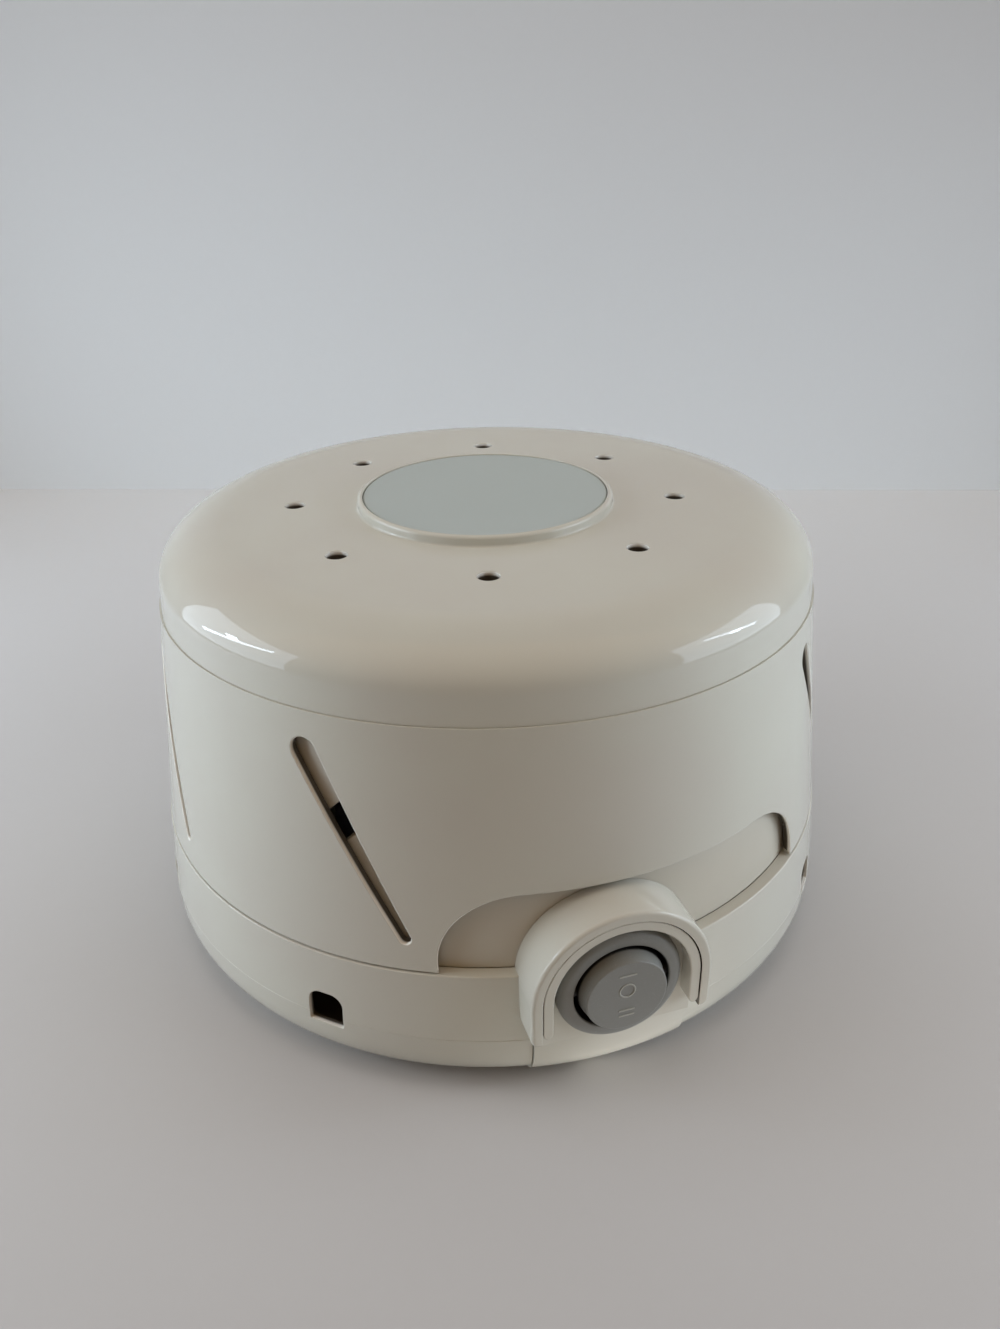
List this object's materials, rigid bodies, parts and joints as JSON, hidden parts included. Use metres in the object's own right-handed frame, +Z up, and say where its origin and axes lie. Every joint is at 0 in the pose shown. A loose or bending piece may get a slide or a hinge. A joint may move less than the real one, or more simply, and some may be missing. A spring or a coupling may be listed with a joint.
{
  "type": "white noise sound machine",
  "caption": "Round mechanical sound machine: a motor-driven fan inside a slotted drum, tuned by a turning collar and cap, with a round rocker switch.",
  "frame": {"origin": "centre of the bounding box at the height of the surface that the feet stand on", "axes": "+Z up along the turning axis of collar, cap and fan; -Y is the front, where the switch faces; +X is to the right seen from the front"},
  "size_m": [0.1458, 0.152, 0.0901],
  "materials": {
    "shell": "polished warm white moulding",
    "drum": "warm white moulding",
    "disc": "fine satin grey-green",
    "switch_grey": "satin mid grey",
    "rubber": "matt black",
    "plated_steel": "zinc plated",
    "laminations": "stacked blued sheet",
    "copper": "bare and enamelled copper",
    "bronze": "sintered bronze and brass",
    "bobbin": "natural nylon",
    "tape": "yellow insulating tape",
    "fan_white": "natural white plastic",
    "sleeve_red": "red vinyl",
    "wire_black": "vinyl insulation",
    "wire_white": "vinyl insulation",
    "wire_red": "vinyl insulation",
    "wire_blue": "vinyl insulation"
  },
  "bodies": {
    "base": {"base_shell": "shell", "bottom_plate": "shell", "rubber_feet": "rubber", "bottom_screws": "plated_steel", "switch_panel": "shell", "switch_housing": "switch_grey", "switch_terminals": "bronze", "crimp_sleeves": "sleeve_red", "sound_housing": "drum", "drum_screws": "plated_steel", "cord_gland": "shell", "terminal_block": "bobbin", "terminal_screws": "bronze", "motor_cradle": "plated_steel", "rubber_isolators": "rubber", "cradle_screws": "plated_steel", "lower_bracket": "plated_steel", "upper_bracket": "plated_steel", "lower_bearing": "bronze", "upper_bearing": "bronze", "lamination_stack": "laminations", "shading_rings": "copper", "coil_bobbin": "bobbin", "coil_winding": "copper", "coil_tape": "tape", "motor_bolts": "plated_steel", "motor_nuts": "plated_steel", "thermal_fuse": "bobbin", "lead_supply": "wire_black", "lead_return": "wire_white", "lead_fast": "wire_red", "lead_slow": "wire_blue"},
    "fan": {"rotor": "laminations", "motor_shaft": "plated_steel", "thrust_washers": "bronze", "fan_wheel": "fan_white", "fan_clip": "plated_steel"},
    "collar": {"tone_collar": "shell"},
    "cap": {"tone_cap": "shell", "cap_disc": "disc", "cap_washer": "plated_steel", "cap_screw": "plated_steel"},
    "rocker": {"rocker": "switch_grey"}
  },
  "joints": [
    {"name": "collar_turn", "type": "hinge", "parent": "base", "child": "collar", "pos_m": [0, 0.00214, 0.0505], "axis": [0, 0, 1], "range_deg": [-24, 10]},
    {"name": "cap_turn", "type": "hinge", "parent": "base", "child": "cap", "pos_m": [0, 0.00214, 0.082], "axis": [0, 0, 1], "range_deg": [-22.5, 22.5]},
    {"name": "rocker_tilt", "type": "hinge", "parent": "base", "child": "rocker", "pos_m": [0, -0.07166, 0.0251], "axis": [1, 0, 0], "range_deg": [-11, 11]},
    {"name": "fan_spin", "type": "hinge", "parent": "base", "child": "fan", "pos_m": [0, 0.00214, 0.04], "axis": [0, 0, 1], "continuous": true}
  ]
}
